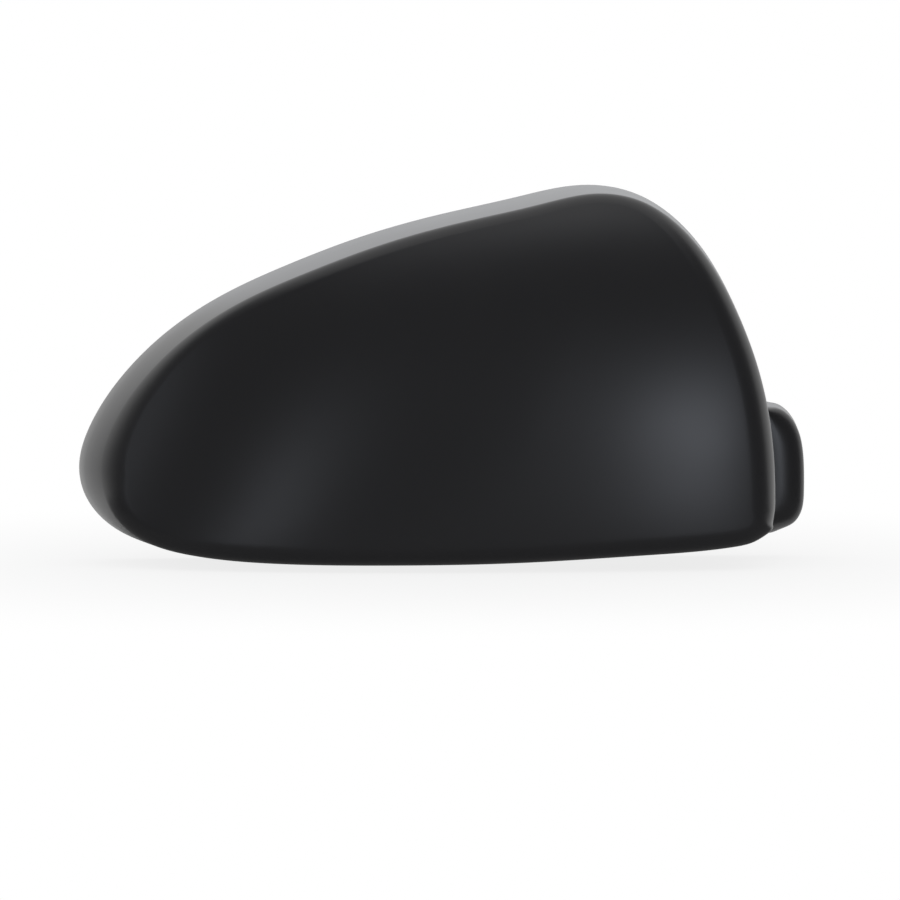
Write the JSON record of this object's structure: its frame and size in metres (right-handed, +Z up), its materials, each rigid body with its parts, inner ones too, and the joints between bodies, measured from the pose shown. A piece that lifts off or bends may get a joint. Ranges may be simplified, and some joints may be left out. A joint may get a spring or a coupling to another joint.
{
  "type": "wing mirror cover",
  "caption": "Black moulded shell that caps a car's wing mirror, with a neck for the arm and snap clips inside.",
  "frame": {"origin": "on the axis of the main locating pin, at its shoulder", "axes": "+X inboard to the car along the cover's width, +Y out of the open back along the locating pins, +Z up; the front faces -Y"},
  "size_m": [0.2409, 0.074, 0.1235],
  "materials": {
    "black_plastic": "fine moulded grain, satin sheen"
  },
  "bodies": {
    "root": {"mirror_cover": "black_plastic"}
  },
  "joints": []
}
